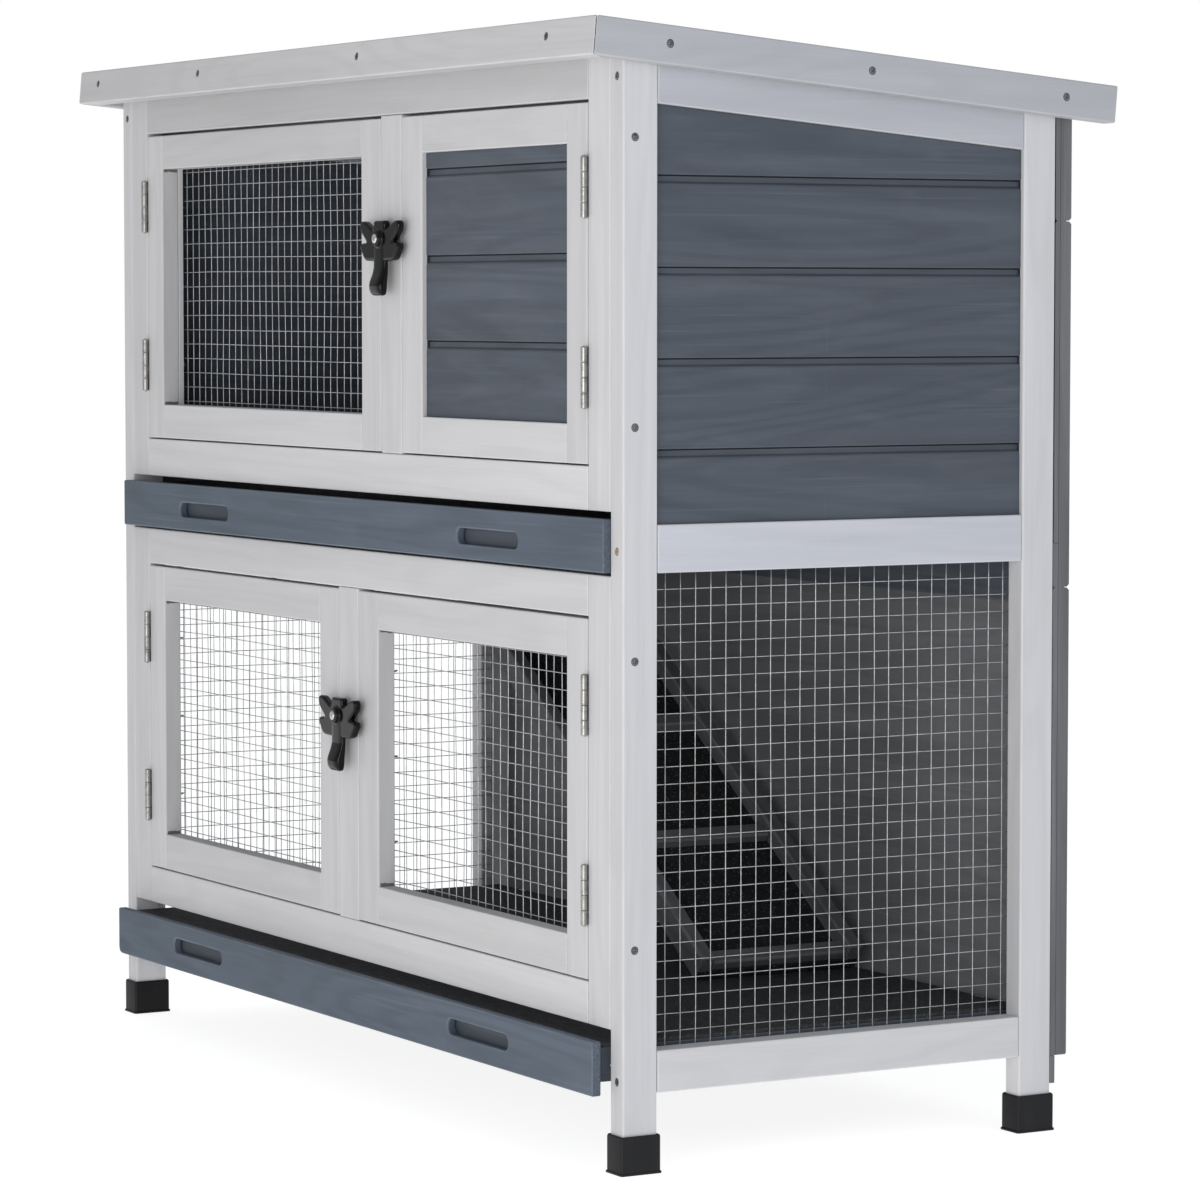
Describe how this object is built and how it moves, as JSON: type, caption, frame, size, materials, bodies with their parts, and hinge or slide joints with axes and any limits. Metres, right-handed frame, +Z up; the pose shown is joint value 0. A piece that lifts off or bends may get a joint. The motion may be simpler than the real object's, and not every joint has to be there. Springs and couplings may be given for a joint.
{
  "type": "rabbit hutch",
  "caption": "Two-storey timber rabbit hutch: hinged doors with wire mesh, a boarded sleeping room above, an open run below, pull-out floor trays, an inner ramp and a sloping felted roof.",
  "frame": {"origin": "floor level, under the centre of the whole outline", "axes": "+X along the length towards the boarded door's side, +Y from the front towards the rear wall, +Z up"},
  "size_m": [0.9, 0.4467, 0.8168],
  "materials": {
    "white_timber": "white-washed softwood with faint grain",
    "grey_boards": "slate grey stained boards",
    "felted_board": "board faced with dark speckled felt",
    "roof_felt": "mineral roofing felt",
    "black_plastic": "moulded black plastic",
    "gloss_black_plastic": "glossy moulded black plastic",
    "galvanised_wire": "galvanised welded wire",
    "hardware": "zinc plated steel"
  },
  "bodies": {
    "frame": {"back_panel": "grey_boards", "front_left_foot_cap": "black_plastic", "front_left_leg": "white_timber", "front_right_foot_cap": "black_plastic", "front_right_leg": "white_timber", "left_bottom_rail": "white_timber", "left_lower_wire_mesh": "galvanised_wire", "left_middle_rail": "white_timber", "left_top_rail": "white_timber", "left_upper_boards": "grey_boards", "lower_frame_header": "white_timber", "lower_frame_left_stile": "white_timber", "lower_frame_mullion": "white_timber", "lower_frame_right_stile": "white_timber", "lower_frame_sill": "white_timber", "lower_latch_screw": "hardware", "lower_left_door_bottom_hinge": "hardware", "lower_left_door_top_hinge": "hardware", "lower_right_door_bottom_hinge": "hardware", "lower_right_door_top_hinge": "hardware", "ramp": "felted_board", "rear_floor_ledge": "grey_boards", "rear_left_foot_cap": "black_plastic", "rear_left_leg": "white_timber", "rear_right_foot_cap": "black_plastic", "rear_right_leg": "white_timber", "right_bottom_rail": "white_timber", "right_lower_wire_mesh": "galvanised_wire", "right_middle_rail": "white_timber", "right_top_rail": "white_timber", "right_upper_boards": "grey_boards", "roof_deck": "white_timber", "roof_felt": "roof_felt", "roof_front_trim": "white_timber", "roof_left_trim": "white_timber", "roof_right_trim": "white_timber", "upper_frame_header": "white_timber", "upper_frame_left_stile": "white_timber", "upper_frame_mullion": "white_timber", "upper_frame_right_stile": "white_timber", "upper_frame_sill": "white_timber", "upper_latch_screw": "hardware", "upper_left_door_bottom_hinge": "hardware", "upper_left_door_top_hinge": "hardware", "upper_right_door_bottom_hinge": "hardware", "upper_right_door_top_hinge": "hardware"},
    "lower_drawer": {"lower_tray": "felted_board", "lower_tray_front_board": "grey_boards"},
    "lower_latch": {"lower_latch_button": "gloss_black_plastic"},
    "lower_left_door": {"lower_left_door_frame": "white_timber", "lower_left_door_wire_mesh": "galvanised_wire"},
    "lower_right_door": {"lower_right_door_frame": "white_timber", "lower_right_door_wire_mesh": "galvanised_wire"},
    "upper_drawer": {"upper_tray": "felted_board", "upper_tray_front_board": "grey_boards"},
    "upper_latch": {"upper_latch_button": "gloss_black_plastic"},
    "upper_left_door": {"upper_left_door_frame": "white_timber", "upper_left_door_wire_mesh": "galvanised_wire"},
    "upper_right_door": {"upper_right_door_boards": "grey_boards", "upper_right_door_frame": "white_timber"}
  },
  "joints": [
    {"name": "upper_left_door_hinge", "type": "hinge", "parent": "frame", "child": "upper_left_door", "pos_m": [-0.3826, -0.19245, 0.632], "axis": [0, 0, -1], "range_deg": [0, 110]},
    {"name": "upper_right_door_hinge", "type": "hinge", "parent": "frame", "child": "upper_right_door", "pos_m": [0.3826, -0.19245, 0.632], "axis": [0, 0, 1], "range_deg": [0, 110]},
    {"name": "lower_left_door_hinge", "type": "hinge", "parent": "frame", "child": "lower_left_door", "pos_m": [-0.3826, -0.19245, 0.26385], "axis": [0, 0, -1], "range_deg": [0, 110]},
    {"name": "lower_right_door_hinge", "type": "hinge", "parent": "frame", "child": "lower_right_door", "pos_m": [0.3826, -0.19245, 0.26385], "axis": [0, 0, 1], "range_deg": [0, 110]},
    {"name": "upper_latch_turn", "type": "hinge", "parent": "frame", "child": "upper_latch", "pos_m": [0.07585, -0.18955, 0.6672], "axis": [0, -1, 0], "range_deg": [-90, 90]},
    {"name": "lower_latch_turn", "type": "hinge", "parent": "frame", "child": "lower_latch", "pos_m": [0, -0.18955, 0.2943], "axis": [0, -1, 0], "range_deg": [-90, 90]},
    {"name": "upper_tray_slide", "type": "slide", "parent": "frame", "child": "upper_drawer", "axis": [0, -1, 0], "range_m": [0, 0.3]},
    {"name": "lower_tray_slide", "type": "slide", "parent": "frame", "child": "lower_drawer", "axis": [0, -1, 0], "range_m": [-0.01, 0.3]}
  ]
}
